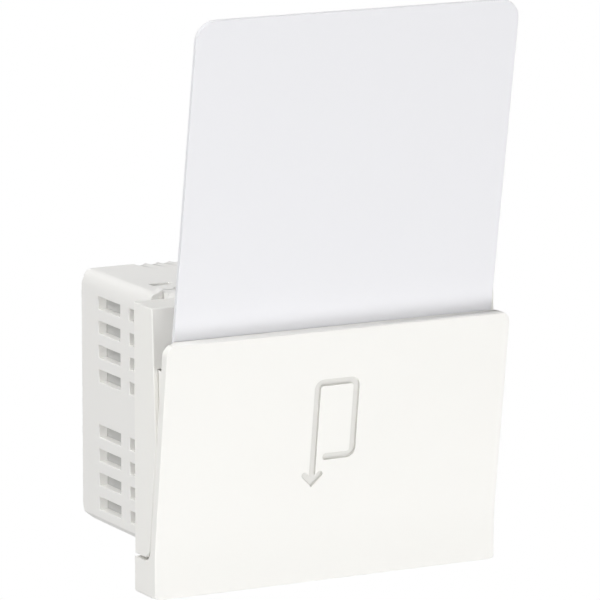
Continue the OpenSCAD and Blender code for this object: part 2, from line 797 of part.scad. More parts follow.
module mounting_neck() {
    color([0.94, 0.935, 0.92]) difference() {
        union() {
            through(flange_y, flange_back) flange_outline(0);
            difference() {
                through(flange_back - cut/2, flange_back + rim_depth) flange_outline(0);
                through(flange_back, flange_back + rim_depth + cut) flange_outline(rim_t);
            }
            difference() {
                through(flange_back - cut/2, neck_len) neck_section(0);
                through(flange_back, neck_len + cut) neck_section(wall_t);
            }
            seam_lip();
            both_sides() for (z = [post_bottom, post_top])
                bar(post_d, post_x, z, flange_back - cut/2, board_y);
            both_sides() for (z = [-leg_w, leg_w]) frame_lug(z);
            both_sides() cover_tongues();
        }
        block([-window_x, flange_y - cut, window_low], [window_x, flange_back + cut, window_high]);
        both_sides() block([leg_x - slide_gap, flange_y - cut, -leg_w/2 - slide_gap],
            [leg_x + leg_t + slide_gap, flange_back + cut, leg_w/2 + slide_gap]);
        both_sides() block([leg_x, leg_y - 2*barb_len - plug_gap, -leg_w/2],
            [box_w/2 + cut, leg_y + plug_gap, leg_w/2]);
        both_sides() for (z = [post_bottom, post_top]) bar(pilot_d, post_x, z, flange_back, board_y + cut);
        bar(guide_d + 2*plug_gap, 0, guide_z, flange_y - cut, flange_back + cut);
    }
}

// Lip inside the seam, which the rear cover slides over
module seam_lip() {
    difference() {
        union() {
            through(neck_len - lip_reach, neck_len) neck_section(wall_t - lip_root);
            through(neck_len - cut/2, neck_len + lip_reach) neck_section(wall_t + plug_gap);
        }
        through(neck_len - 2*lip_reach, neck_len + 2*lip_reach) neck_section(wall_t + lip_t);
    }
}

// Wedge-shaped lug that snaps behind the wall support frame
module frame_lug(z) {
    start = flange_back + rim_depth + slide_gap;
    translate([box_w/2, start, z]) linear_extrude(lug_w, center = true)
        polygon([[-wall_t/2, 0], [lug_t, 0], [0, lug_len], [-wall_t/2, lug_len]]);
}

// Tongues above and below that snap into the rear cover's windows
module cover_tongues() {
    translate([latch_x, 0, box_ceiling]) cover_tongue();
    mirror([0, 0, 1]) translate([latch_x, 0, -box_floor]) cover_tongue();
}

// One tongue, reaching back under a wall whose inner face is at height 0
module cover_tongue() {
    root = neck_len - tongue_root;
    catch_y = tongue_y - latch_slot + plug_gap;
    catch_z = wall_t - tongue_catch;
    across(latch_w - 4*plug_gap)
        polygon([[root, wall_t/2], [neck_len, wall_t/2], [neck_len, -slide_gap], [catch_y, -slide_gap],
            [catch_y, catch_z], [tongue_y - latch_slot/2, catch_z], [tongue_y - plug_gap, -slide_gap],
            [tongue_y, -tongue_t - slide_gap], [root, -tongue_t - slide_gap]]);
}

// Outline of the box, seen from behind: slanted upper and chamfered lower corners, drawn in by a margin
module box_section(margin) {
    half = box_w/2 - margin;
    low = -box_bottom + margin;
    low_c = box_low_chamfer - margin/2;
    corner = band_corner(half, box_top - margin, box_chamfer - margin/2);
    steps = len(corner) - 1;
    polygon([[-half, low + low_c], [-half + low_c, low], [half - low_c, low], [half, low + low_c],
        each corner, for (i = [steps:-1:0]) [-corner[i][0], corner[i][1]]]);
}

// Upper right corner of the box: a slanted band and its rounding into the top, from the side up
function band_corner(half, high, rise) = let (turn = 90 - band_lean, blend = blend_share*rise,
        r = blend/tan(turn/2), x = half - rise*tan(band_lean) - blend)
    concat([[half, high - rise]],
        [for (i = [0:blend_steps]) let (a = band_lean + turn*i/blend_steps)
            [x + r*cos(a), high - r + r*sin(a)]]);

module rear_cover() {
    color([0.93, 0.925, 0.91]) {
        difference() {
            intersection() {
                through(cover_y, box_rear) box_section(0);
                across(box_w + 2*cut) rear_profile();
            }
            through(cover_y - cut, box_back_in) box_section(wall_t);
            both_sides() side_vents();
            both_sides() latch_windows();
            block([-seam_slit_x, cover_y - cut, box_ceiling - cut],
                [seam_slit_x, cover_y + seam_slit, box_top + cut]);
            for (i = [0:terminal_count - 1]) terminal_openings(terminal_x(i));
            grip_grooves();
        }
        both_sides() corner_ear();
    }
}

// Side view of the box: rounded more at its lower rear edge than at its upper one
module rear_profile() {
    front = cover_y - 2*box_rear_r;
    round_rect(front, -box_bottom, box_rear, 0, box_rear_r);
    round_rect(front, -box_bottom/2, box_rear, box_top, box_edge_r);
}

// Ear that guides the cover onto the neck: the box's corner runs on into the neck's notch,
// with a ramped lug on top
module corner_ear() {
    lug_foot = box_w/2 - corner_lug_inset;
    through(cover_y - ear_reach, cover_y + cut) intersection() {
        difference() {
            box_section(0);
            box_section(wall_t);
        }
        translate([ear_x, ear_z]) square(box_w);
    }
    through(cover_y - ear_reach, cover_y - ear_reach + corner_lug_len)
        polygon([[lug_foot, box_top - wall_t/2], [lug_foot, box_top - corner_lug_sink],
            [ear_x + corner_lug_flat, box_top + corner_lug_h], [ear_x, box_top + corner_lug_h],
            [ear_x, box_top - wall_t/2]]);
}

// Two columns of vents in one side wall
module side_vents() {
    long_y = box_rear - vent_margin - vent_len;
    short_y = long_y - vent_bar - short_vent_len;
    for (i = [0:vent_count - 1], side = [-1, 1]) {
        z = vent_mid + side*(vent_first + i*vent_pitch);
        side_vent(long_y, vent_len, z);
        side_vent(short_y, short_vent_len, z);
    }
}

// One vent through the right-hand wall
module side_vent(y, len, z) {
    block([box_in - cut, y, z - vent_h/2], [box_w/2 + cut, y + len, z + vent_h/2]);
}

// Windows for the neck's tongues, above and below
module latch_windows() {
    block([latch_x - latch_w/2, tongue_y - latch_slot, box_ceiling - cut],
        [latch_x + latch_w/2, tongue_y, box_top + cut]);
    block([latch_x - latch_w/2, tongue_y - latch_slot, -box_bottom - cut],
        [latch_x + latch_w/2, tongue_y, box_floor + cut]);
}

// Wire entry at the back and screwdriver hole below, for one terminal
module terminal_openings(x) {
    block([x - wire_hole/2, box_back_in - cut, wire_z - wire_hole/2],
        [x + wire_hole/2, box_rear + cut, wire_z + wire_hole/2]);
    translate([x, screw_y, -box_bottom - cut]) cylinder(d = access_d, h = wall_t + 2*cut);
}

// Grip grooves: round hollows, deepest at the back, that run out towards the front
module grip_grooves() {
    rise = asin((grip_depth + plug_gap)/grip_len);
    for (i = [0:grip_count - 1])
        translate([(i - (grip_count - 1)/2)*grip_pitch, box_rear, box_top]) rotate([-rise, 0, 0])
            through(-grip_len - cut, cut) translate([0, groove_r - grip_depth]) circle(groove_r);
}

// Plates behind the vents that keep fingers and tools off the live pieces
module insulating_liners() {
    color([0.88, 0.88, 0.87]) both_sides()
        block([liner_x - liner_t, liner_y, liner_low], [liner_x, box_back_in - plug_gap, liner_high]);
}

module circuit_board() {
    color([0.13, 0.42, 0.24]) difference() {
        through(board_y, board_back) neck_section(wall_t + slide_gap);
        both_sides() for (z = [post_bottom, post_top])
            bar(pilot_d + 4*plug_gap, post_x, z, board_y - cut, board_back + cut);
    }
}

module board_screws() {
    color([0.72, 0.72, 0.74]) both_sides() for (z = [post_bottom, post_top]) difference() {
        union() {
            bar(2*pilot_d, post_x, z, board_back, board_back + board_head_t);
            bar(board_screw_d, post_x, z, board_y - board_screw_grip, board_back + board_head_t/2);
        }
        for (turn = [0, 90]) translate([post_x, board_back + board_head_t, z]) rotate([0, turn, 0])
            cube([recess_len, board_head_t, recess_w], center = true);
    }
}

module microswitch_body() {
    color([0.15, 0.15, 0.16]) difference() {
        block([-switch_w/2, switch_y, switch_z - switch_h/2], [switch_w/2, board_y, switch_z + switch_h/2]);
        bar(plunger_d + 2*plug_gap, 0, switch_z, switch_y - cut, switch_y + switch_depth/2);
        both_sides() bar(mount_hole_d, switch_w/2 - mount_hole_in, switch_z, switch_y - cut,
            switch_y + switch_depth/4);
    }
}

module microswitch_plunger() {
    color([0.8, 0.2, 0.15]) {
        bar(plunger_d, 0, switch_z, plunger_y, switch_y + switch_depth/2 - rest_gap);
        translate([0, plunger_y, switch_z]) sphere(d = plunger_d);
    }
}

// A box-shaped component on the back of the board
module on_board(x, z, w, l, h) {
    block([x - w/2, board_back, z - l/2], [x + w/2, board_back + h, z + l/2]);
}

module power_relay() {
    color([0.12, 0.2, 0.5]) on_board(relay_x, relay_z, relay_w, relay_len, relay_h);
}

module film_capacitor() {
    color([0.85, 0.75, 0.2]) on_board(film_x, film_z, film_w, film_len, film_h);
}

module electrolytic_capacitor() {
    ring_y = board_back + ring_rise;
    color([0.1, 0.12, 0.2]) difference() {
        bar(can_d, can_x, can_z, board_back, board_back + can_h);
        difference() {
            bar(can_d + cut, can_x, can_z, ring_y, ring_y + 2*ring);
            bar(can_d - 2*ring, can_x, can_z, ring_y - cut, ring_y + 2*ring + cut);
        }
    }
}

// A disc that stands on two wire leads
module varistor() {
    middle = board_back + lead_h + varistor_d/2;
    color([0.1, 0.3, 0.6]) {
        translate([can_x - varistor_t/2, middle, varistor_z]) rotate([0, 90, 0])
            cylinder(d = varistor_d, h = varistor_t);
        for (z = [-varistor_d/4, varistor_d/4]) bar(lead_d, can_x, varistor_z + z, board_back, middle);
    }
}

module fuse_resistor() {
    middle = board_back + resistor_d/2 + rest_gap;
    reach = resistor_len/2 + lead_reach;
    color([0.6, 0.75, 0.8]) {
        translate([resistor_x, middle, resistor_z]) {
            cylinder(d = resistor_d, h = resistor_len, center = true);
            cylinder(d = lead_d, h = 2*reach, center = true);
        }
        for (z = [-reach, reach]) {
            bar(lead_d, resistor_x, resistor_z + z, board_back, middle);
            translate([resistor_x, middle, resistor_z + z]) sphere(d = lead_d);
        }
    }
}

module bridge_rectifier() {
    color([0.1, 0.1, 0.11]) on_board(can_x, rectifier_z, rectifier_len, rectifier_w, rectifier_h);
}

// A small chip on the front of the board, with its legs
module timer_chip() {
    x = (switch_w/2 + box_in)/2;
    z = switch_z + switch_h + chip_w;
    leg_step = chip_len/chip_legs;
    color([0.08, 0.08, 0.09]) {
        block([x - chip_len/2, board_y - chip_h, z - chip_w/2], [x + chip_len/2, board_y, z + chip_w/2]);
        for (i = [0:chip_legs - 1]) {
            leg_mid = x + (i - (chip_legs - 1)/2)*leg_step;
            block([leg_mid - leg_step/5, board_y - chip_h/2, z - chip_w/2 - chip_leg_reach],
                [leg_mid + leg_step/5, board_y, z + chip_w/2 + chip_leg_reach]);
        }
    }
}

module terminal_block() {
    color([0.25, 0.27, 0.3]) difference() {
        block([-block_w/2, block_y, box_floor], [block_w/2, block_y + block_depth, block_top]);
        for (i = [0:terminal_count - 1]) {
            x = terminal_x(i);
            block([x - clamp_w/2 - plug_gap, block_y + wall_t, clamp_low - plug_gap],
                [x + clamp_w/2 + plug_gap, block_y + block_depth + cut, clamp_top + plug_gap]);
            translate([x, screw_y, box_floor - cut]) cylinder(d = access_d, h = clamp_rise + cut);
            block([x - leg_side/2 - plug_gap, block_y - cut, leg_z - leg_side/2 - plug_gap],
                [x + leg_side/2 + plug_gap, block_y + wall_t + cut, leg_z + leg_side/2 + plug_gap]);
        }
    }
}

module terminal_clamps() {
    color([0.8, 0.65, 0.3]) for (i = [0:terminal_count - 1]) {
        x = terminal_x(i);
        difference() {
            block([x - clamp_w/2, clamp_y, clamp_low], [x + clamp_w/2, clamp_y + clamp_len, clamp_top]);
            block([x - wire_hole/2, clamp_y - cut, wire_z - wire_hole/2],
                [x + wire_hole/2, clamp_y + clamp_len + cut, wire_z + wire_hole/2]);
            translate([x, screw_y, clamp_low - cut])
                cylinder(d = screw_d + plug_gap, h = wire_z - clamp_low + cut);
        }
    }
}

module terminal_screws() {
    head_z = clamp_low - rest_gap - screw_head_t;
    tip_z = wire_z - wire_hole/2 - rest_gap;
    color([0.7, 0.7, 0.72]) for (i = [0:terminal_count - 1]) translate([terminal_x(i), screw_y, head_z])
        difference() {
            union() {
                cylinder(d = screw_head_d, h = screw_head_t);
                cylinder(d = screw_d, h = tip_z - head_z);
            }
            cube([screw_head_d + cut, screw_slot_w, screw_head_t], center = true);
        }
}

module terminal_legs() {
    color([0.78, 0.78, 0.8]) for (i = [0:terminal_count - 1]) {
        x = terminal_x(i);
        block([x - leg_side/2, board_back, leg_z - leg_side/2],
            [x + leg_side/2, clamp_y, leg_z + leg_side/2]);
    }
}

module locator_led() {
    color([0.6, 0.85, 0.95]) {
        bar(guide_d - 2*plug_gap, 0, guide_z, lamp_y + guide_d/2, board_y);
        translate([0, lamp_y + guide_d/2, guide_z]) sphere(d = guide_d - 2*plug_gap);
        bar(guide_d + 2*lamp_base_rim, 0, guide_z, board_y - lamp_base_t, board_y);
    }
}

module light_guide() {
    front_y = upper_front_y(guide_z);
    collar_y = upper_front_y(front_top) + wall_t + rest_gap;
    color([0.8, 0.88, 0.92]) {
        bar(guide_d, 0, guide_z, front_y, lamp_y - rest_gap);
        bar(collar_d, 0, guide_z, collar_y, collar_y + collar_t);
    }
}

front_panel();
front_carrier();
key_card();
card_carriage();
return_springs();
card_leaf_springs();
leaf_rivets();
mounting_neck();
rear_cover();
insulating_liners();
circuit_board();
board_screws();
microswitch_body();
microswitch_plunger();
power_relay();
film_capacitor();
electrolytic_capacitor();
varistor();
fuse_resistor();
bridge_rectifier();
timer_chip();
terminal_block();
terminal_clamps();
terminal_screws();
terminal_legs();
locator_led();
light_guide();
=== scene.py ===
# %% [markdown]
# # A hotel key card switch
# The switch stands in a wall frame by the door of a hotel room. A guest pushes a card down behind the
# leaning front panel, a small carriage under the card works a switch, and the room gets its power.
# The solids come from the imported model, in metres: +X is to the right, +Y goes into the wall, +Z is up.
# This lesson rounds their edges, gives each one its finish, and lights them like a catalogue picture.
# Sizes and places of the pieces are written in millimetres, those of floor and lamps in metres.

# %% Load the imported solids
import json
import math

import bmesh
import bpy
from mathutils import Matrix, Vector


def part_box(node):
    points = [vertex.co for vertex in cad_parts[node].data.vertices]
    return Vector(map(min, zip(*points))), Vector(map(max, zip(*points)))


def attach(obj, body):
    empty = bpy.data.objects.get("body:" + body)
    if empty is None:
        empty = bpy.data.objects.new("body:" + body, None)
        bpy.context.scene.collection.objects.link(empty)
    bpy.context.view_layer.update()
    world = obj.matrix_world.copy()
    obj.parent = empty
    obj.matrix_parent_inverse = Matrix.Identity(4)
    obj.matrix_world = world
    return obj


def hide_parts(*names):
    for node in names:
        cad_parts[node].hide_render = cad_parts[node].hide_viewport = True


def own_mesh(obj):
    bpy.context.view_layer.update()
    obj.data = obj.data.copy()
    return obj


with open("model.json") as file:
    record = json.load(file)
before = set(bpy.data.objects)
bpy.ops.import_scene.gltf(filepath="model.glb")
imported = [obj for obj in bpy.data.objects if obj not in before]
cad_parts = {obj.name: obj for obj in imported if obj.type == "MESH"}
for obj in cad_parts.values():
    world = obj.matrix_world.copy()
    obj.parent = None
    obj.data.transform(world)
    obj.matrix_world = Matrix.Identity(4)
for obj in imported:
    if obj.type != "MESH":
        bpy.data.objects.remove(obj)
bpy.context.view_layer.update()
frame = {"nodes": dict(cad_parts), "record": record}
MM = 0.001

# %% [markdown]
# ## Camera
# The photograph was taken from the front left and a little above, with a long lens. The place and the
# lens were worked out from the card, whose size is a standard, so the camera goes there directly, in
# numbers, and needs no aiming by hand.

# %% Place the camera
CAMERA_PLACE = Vector((-386.2, -731.8, 180.0)) * MM
CAMERA_AZIMUTH = math.radians(27.757)
CAMERA_TILT = math.radians(90 - 10.954)
LENS_LENGTH = 333.92
SENSOR_WIDTH = 36
NEAREST_SEEN = 0.05

lens = bpy.data.cameras.new("catalogue_camera")
lens.lens = LENS_LENGTH
lens.sensor_width = SENSOR_WIDTH
lens.clip_start = NEAREST_SEEN
camera = bpy.data.objects.new("catalogue_camera", lens)
camera.location = CAMERA_PLACE
camera.rotation_euler = (CAMERA_TILT, 0, -CAMERA_AZIMUTH)
bpy.context.scene.collection.objects.link(camera)
bpy.context.scene.camera = camera
bpy.context.scene.view_settings.view_transform = "Standard"
print("camera distance in mm:", round(CAMERA_PLACE.length / MM, 1))

# %% [markdown]
# ## Floor and light
# A catalogue picture has a plain white ground. The floor is far below, because the switch is shown as it
# hangs on a wall, and what the camera sees behind the object is white, of strength 1.

# %% Make the floor
FLOOR_Z = -1.8
FLOOR_HALF = 4.0
FLOOR_GREY = 0.86
WHITE_STRENGTH = 1.0


def white_where_seen(tree, plain, glow):
    """A shader: `glow` where the camera, a reflection or clear plastic sees it, `plain` elsewhere."""
    path = tree.nodes.new("ShaderNodeLightPath")
    either = tree.nodes.new("ShaderNodeMath")
    either.operation = "MAXIMUM"
    tree.links.new(path.outputs["Is Camera Ray"], either.inputs[0])
    tree.links.new(path.outputs["Is Glossy Ray"], either.inputs[1])
    seen = tree.nodes.new("ShaderNodeMath")
    seen.operation = "MAXIMUM"
    tree.links.new(either.outputs[0], seen.inputs[0])
    tree.links.new(path.outputs["Is Transmission Ray"], seen.inputs[1])
    mix = tree.nodes.new("ShaderNodeMixShader")
    tree.links.new(seen.outputs[0], mix.inputs[0])
    tree.links.new(plain.outputs[0], mix.inputs[1])
    tree.links.new(glow.outputs[0], mix.inputs[2])
    return mix


ground = bpy.data.materials.new("pale_floor")
ground.use_nodes = True
ground.node_tree.nodes.clear()
floor_paint = ground.node_tree.nodes.new("ShaderNodeBsdfDiffuse")
floor_paint.inputs["Color"].default_value = (FLOOR_GREY, FLOOR_GREY, FLOOR_GREY, 1)
floor_glow = ground.node_tree.nodes.new("ShaderNodeEmission")
floor_glow.inputs["Strength"].default_value = WHITE_STRENGTH
floor_end = ground.node_tree.nodes.new("ShaderNodeOutputMaterial")
floor_mix = white_where_seen(ground.node_tree, floor_paint, floor_glow)
ground.node_tree.links.new(floor_mix.outputs[0], floor_end.inputs["Surface"])

sheet = bmesh.new()
bmesh.ops.create_grid(sheet, x_segments=1, y_segments=1, size=FLOOR_HALF)
bmesh.ops.translate(sheet, verts=sheet.verts, vec=(0, 0, FLOOR_Z))
floor_mesh = bpy.data.meshes.new("floor")
sheet.to_mesh(floor_mesh)
sheet.free()
floor = bpy.data.objects.new("floor", floor_mesh)
floor.data.materials.append(ground)
bpy.context.scene.collection.objects.link(floor)
print("floor at z in mm:", FLOOR_Z / MM)

# %% [markdown]
# White pieces on white need light that differs from side to side, or their edges vanish. Broad lamps
# stand all round at the same distance: those on the left draw the sides and rounded edges, those in front
# make the panel the brightest face, and two low ones light panel and card from below, so that the card
# darkens towards its slot. The world adds a little even light.

# %% Light the set
WORLD_LIGHT = 0.1
LAMP_DISTANCE = 1.6
LAMP_SIZE = 0.9

world = bpy.data.worlds.new("studio")
bpy.context.scene.world = world
world.use_nodes = True
world.node_tree.nodes.clear()
even_light = world.node_tree.nodes.new("ShaderNodeBackground")
even_light.inputs["Strength"].default_value = WORLD_LIGHT
backdrop = world.node_tree.nodes.new("ShaderNodeBackground")
backdrop.inputs["Strength"].default_value = WHITE_STRENGTH
for shade in (even_light, backdrop):
    shade.inputs["Color"].default_value = (1, 1, 1, 1)
world_end = world.node_tree.nodes.new("ShaderNodeOutputWorld")
world_mix = white_where_seen(world.node_tree, even_light, backdrop)
world.node_tree.links.new(world_mix.outputs[0], world_end.inputs["Surface"])


def soft_lamp(name, turn, rise, watts):
    """A square lamp aimed at the object: turn is in degrees from the front to the right, rise is upwards."""
    turn, rise = math.radians(turn), math.radians(rise)
    place = LAMP_DISTANCE * Vector((math.sin(turn) * math.cos(rise), -math.cos(turn) * math.cos(rise),
                                    math.sin(rise)))
    lamp = bpy.data.lights.new(name, "AREA")
    lamp.energy = watts
    lamp.size = LAMP_SIZE
    bulb = bpy.data.objects.new(name, lamp)
    bulb.location = place
    bulb.rotation_euler = (-place).to_track_quat("-Z", "Y").to_euler()
    bulb.visible_camera = False
    bpy.context.scene.collection.objects.link(bulb)
    return bulb


lamps = [
    soft_lamp("front_left_lamp", -40, 5, 9.6),
    soft_lamp("high_right_lamp", 45, 40, 6.0),
    soft_lamp("left_lamp", -85, 5, 4.0),
    soft_lamp("high_left_lamp", -90, 55, 15.2),
    soft_lamp("rear_top_lamp", 180, 45, 1.0),
    soft_lamp("low_right_lamp", 20, -45, 11.6),
    soft_lamp("low_front_lamp", 0, -18, 3.8),
]
print("lamps:", [lamp.name for lamp in lamps])

# %% [markdown]
# ## Finishes
# Nearly all of the switch is moulded plastic. A mould leaves a very fine grain, and the plastic's colour
# and gloss are not perfectly even. Several finishes share that, so it is one node group, with the grain's
# size, the unevenness and the colour as its inputs. It puts out a colour, a roughness and a height, and
# the Principled shader stays in each material.

# %% Colour helper
def srgb(red, green, blue):
    """A colour as a picture editor gives it, 0 to 255, in Blender's linear numbers."""
    def linear(c):
        c = c / 255
        return c / 12.92 if c <= 0.04045 else ((c + 0.055) / 1.055) ** 2.4
    return (linear(red), linear(green), linear(blue), 1.0)


print("panel white in linear numbers:", [round(c, 3) for c in srgb(249, 248, 244)])

# %% Helpers for node groups
NOISE_LOW, NOISE_HIGH = 0.3, 0.7


def new_group(name, inputs, outputs):
    """An empty node group with the named sockets; inputs are (name, kind, default)."""
    group = bpy.data.node_groups.new(name, "ShaderNodeTree")
    for label, kind, start in inputs:
        socket = group.interface.new_socket(label, in_out="INPUT", socket_type=kind)
        if start is not None:
            socket.default_value = start
    for label, kind in outputs:
        group.interface.new_socket(label, in_out="OUTPUT", socket_type=kind)
    return group, group.nodes.new("NodeGroupInput"), group.nodes.new("NodeGroupOutput")


def noise(tree, place, scale_from, detail, distortion=0.0):
    """A noise texture that reads a place and takes its scale from a socket."""
    texture = tree.nodes.new("ShaderNodeTexNoise")
    texture.inputs["Detail"].default_value = detail
    texture.inputs["Distortion"].default_value = distortion
    tree.links.new(place, texture.inputs["Vector"])
    tree.links.new(scale_from, texture.inputs["Scale"])
    return texture.outputs["Fac"]


def around(tree, value, middle, spread):
    """A number that wanders with `value` from middle - spread to middle + spread."""
    node = tree.nodes.new("ShaderNodeMapRange")
    node.clamp = True
    low = tree.nodes.new("ShaderNodeMath")
    low.operation = "SUBTRACT"
    high = tree.nodes.new("ShaderNodeMath")
    high.operation = "ADD"
    for math_node in (low, high):
        tree.links.new(middle, math_node.inputs[0])
        tree.links.new(spread, math_node.inputs[1])
    tree.links.new(value, node.inputs["Value"])
    node.inputs["From Min"].default_value = NOISE_LOW
    node.inputs["From Max"].default_value = NOISE_HIGH
    tree.links.new(low.outputs[0], node.inputs["To Min"])
    tree.links.new(high.outputs[0], node.inputs["To Max"])
    return node.outputs["Result"]


print("noise values stretched to the full spread:", NOISE_LOW, "to", NOISE_HIGH)

# %% Node group for moulded plastic
moulded, m_in, m_out = new_group(
    "moulded_grain",
    [("Place", "NodeSocketVector", None), ("Colour", "NodeSocketColor", (0.9, 0.9, 0.9, 1)),
     ("Shaded colour", "NodeSocketColor", (0.88, 0.88, 0.88, 1)), ("Grain", "NodeSocketFloat", 5000.0),
     ("Flow", "NodeSocketFloat", 60.0), ("Roughness", "NodeSocketFloat", 0.4),
     ("Uneven", "NodeSocketFloat", 0.04)],
    [("Colour", "NodeSocketColor"), ("Roughness", "NodeSocketFloat"), ("Height", "NodeSocketFloat")],
)
flow_marks = noise(moulded, m_in.outputs["Place"], m_in.outputs["Flow"], detail=3.0, distortion=0.6)
fine_grain = noise(moulded, m_in.outputs["Place"], m_in.outputs["Grain"], detail=2.0)
tint = moulded.nodes.new("ShaderNodeMix")
tint.data_type = "RGBA"
moulded.links.new(flow_marks, tint.inputs["Factor"])
moulded.links.new(m_in.outputs["Colour"], tint.inputs["A"])
moulded.links.new(m_in.outputs["Shaded colour"], tint.inputs["B"])
moulded.links.new(tint.outputs["Result"], m_out.inputs["Colour"])
rough = around(moulded, flow_marks, m_in.outputs["Roughness"], m_in.outputs["Uneven"])
moulded.links.new(rough, m_out.inputs["Roughness"])
moulded.links.new(fine_grain, m_out.inputs["Height"])
print("group:", moulded.name, [s.name for s in moulded.interface.items_tree])


# %% Plastic finishes
def moulded_plastic(name, colour, roughness, grain_mm=0.12, grain_depth=0.02, fade=0.985):
    """Moulded plastic of one colour; fade is how much darker its flow marks are."""
    finish = bpy.data.materials.new(name)
    finish.use_nodes = True
    tree = finish.node_tree
    shader = tree.nodes["Principled BSDF"]
    place = tree.nodes.new("ShaderNodeTexCoord")
    grain = tree.nodes.new("ShaderNodeGroup")
    grain.node_tree = moulded
    grain.inputs["Colour"].default_value = colour
    grain.inputs["Shaded colour"].default_value = tuple(c * fade for c in colour[:3]) + (1.0,)
    grain.inputs["Grain"].default_value = 1 / (grain_mm * MM)
    grain.inputs["Roughness"].default_value = roughness
    bump = tree.nodes.new("ShaderNodeBump")
    bump.inputs["Distance"].default_value = grain_depth * MM
    tree.links.new(place.outputs["Object"], grain.inputs["Place"])
    tree.links.new(grain.outputs["Colour"], shader.inputs["Base Color"])
    tree.links.new(grain.outputs["Roughness"], shader.inputs["Roughness"])
    tree.links.new(grain.outputs["Height"], bump.inputs["Height"])
    tree.links.new(bump.outputs["Normal"], shader.inputs["Normal"])
    return finish


FINISH = {
    "white_moulding": moulded_plastic("white_moulding", srgb(249, 248, 244), 0.5, 0.10, 0.004),
    "housing_moulding": moulded_plastic("housing_moulding", srgb(243, 242, 239), 0.42, 0.14, 0.008),
    "card_plastic": moulded_plastic("card_plastic", srgb(236, 236, 239), 0.38, 0.25, 0.002, 0.995),
    "carriage_plastic": moulded_plastic("carriage_plastic", srgb(214, 216, 220), 0.45),
    # The insulating liner behind the vents is a real sheet; its mid grey is painted shade, so the vents look
    # dark inside
    "liner_sheet": moulded_plastic("liner_sheet", srgb(198, 198, 196), 0.6, 0.3, 0.004),
    "black_moulding": moulded_plastic("black_moulding", srgb(38, 38, 40), 0.5, 0.2, 0.01, 0.8),
    "plunger_red": moulded_plastic("plunger_red", srgb(190, 48, 40), 0.35),
    "relay_blue": moulded_plastic("relay_blue", srgb(46, 78, 150), 0.35, 0.15, 0.006, 0.9),
    "film_yellow": moulded_plastic("film_yellow", srgb(222, 186, 66), 0.3, 0.4, 0.01, 0.92),
    "varistor_blue": moulded_plastic("varistor_blue", srgb(40, 100, 170), 0.3, 0.5, 0.02, 0.85),
    "resistor_coat": moulded_plastic("resistor_coat", srgb(150, 186, 196), 0.45, 0.3, 0.02, 0.9),
    "terminal_grey": moulded_plastic("terminal_grey", srgb(96, 98, 104), 0.5, 0.2, 0.01, 0.9),
}
# Pale grey for the engraved sign's floor and walls: painted shade that darkens the recess
SIGN_PAINTED_SHADE = moulded_plastic("sign_painted_shade", srgb(228, 227, 223), 0.5, 0.1, 0.004)
print("plastic finishes:", len(FINISH))

# %% [markdown]
# ## Metals, board and clear pieces
# Springs, screws and clamps are drawn or stamped metal, with fine lines along the way they were drawn.
# A second group stretches a noise along one direction for that. The circuit board has copper tracks
# under a green mask, and the lamp and its light guide are clear plastic.

# %% Metal finishes
LINE_STRETCH = 0.08
LINE_DEPTH = 0.004
METAL_FADE = 0.85

drawn, d_in, d_out = new_group(
    "drawn_metal",
    [("Place", "NodeSocketVector", None), ("Colour", "NodeSocketColor", (0.6, 0.6, 0.6, 1)),
     ("Shaded colour", "NodeSocketColor", (0.5, 0.5, 0.5, 1)), ("Lines", "NodeSocketFloat", 4000.0),
     ("Roughness", "NodeSocketFloat", 0.3), ("Uneven", "NodeSocketFloat", 0.1)],
    [("Colour", "NodeSocketColor"), ("Roughness", "NodeSocketFloat"), ("Height", "NodeSocketFloat")],
)
stretch = drawn.nodes.new("ShaderNodeMapping")
stretch.inputs["Scale"].default_value = (1.0, 1.0, LINE_STRETCH)
drawn.links.new(d_in.outputs["Place"], stretch.inputs["Vector"])
lines = noise(drawn, stretch.outputs["Vector"], d_in.outputs["Lines"], detail=2.0)
metal_tint = drawn.nodes.new("ShaderNodeMix")
metal_tint.data_type = "RGBA"
drawn.links.new(lines, metal_tint.inputs["Factor"])
drawn.links.new(d_in.outputs["Colour"], metal_tint.inputs["A"])
drawn.links.new(d_in.outputs["Shaded colour"], metal_tint.inputs["B"])
drawn.links.new(metal_tint.outputs["Result"], d_out.inputs["Colour"])
metal_rough = around(drawn, lines, d_in.outputs["Roughness"], d_in.outputs["Uneven"])
drawn.links.new(metal_rough, d_out.inputs["Roughness"])
drawn.links.new(lines, d_out.inputs["Height"])


def drawn_metal(name, colour, roughness, line_mm=0.2, metallic=1.0):
    """Drawn or stamped metal of one colour."""
    finish = bpy.data.materials.new(name)
    finish.use_nodes = True
    tree = finish.node_tree
    shader = tree.nodes["Principled BSDF"]
    shader.inputs["Metallic"].default_value = metallic
    place = tree.nodes.new("ShaderNodeTexCoord")
    grain = tree.nodes.new("ShaderNodeGroup")
    grain.node_tree = drawn
    grain.inputs["Colour"].default_value = colour
    grain.inputs["Shaded colour"].default_value = tuple(c * METAL_FADE for c in colour[:3]) + (1.0,)
    grain.inputs["Lines"].default_value = 1 / (line_mm * MM)
    grain.inputs["Roughness"].default_value = roughness
    bump = tree.nodes.new("ShaderNodeBump")
    bump.inputs["Distance"].default_value = LINE_DEPTH * MM
    tree.links.new(place.outputs["Object"], grain.inputs["Place"])
    tree.links.new(grain.outputs["Colour"], shader.inputs["Base Color"])
    tree.links.new(grain.outputs["Roughness"], shader.inputs["Roughness"])
    tree.links.new(grain.outputs["Height"], bump.inputs["Height"])
    tree.links.new(bump.outputs["Normal"], shader.inputs["Normal"])
    return finish


FINISH["spring_steel"] = drawn_metal("spring_steel", srgb(196, 197, 200), 0.25)
FINISH["zinc_steel"] = drawn_metal("zinc_steel", srgb(204, 206, 210), 0.35, 0.3)
FINISH["terminal_brass"] = drawn_metal("terminal_brass", srgb(222, 192, 128), 0.3, 0.3)
FINISH["can_sleeve"] = drawn_metal("can_sleeve", srgb(44, 50, 78), 0.4, 0.5, 0.0)
print("finishes so far:", len(FINISH))

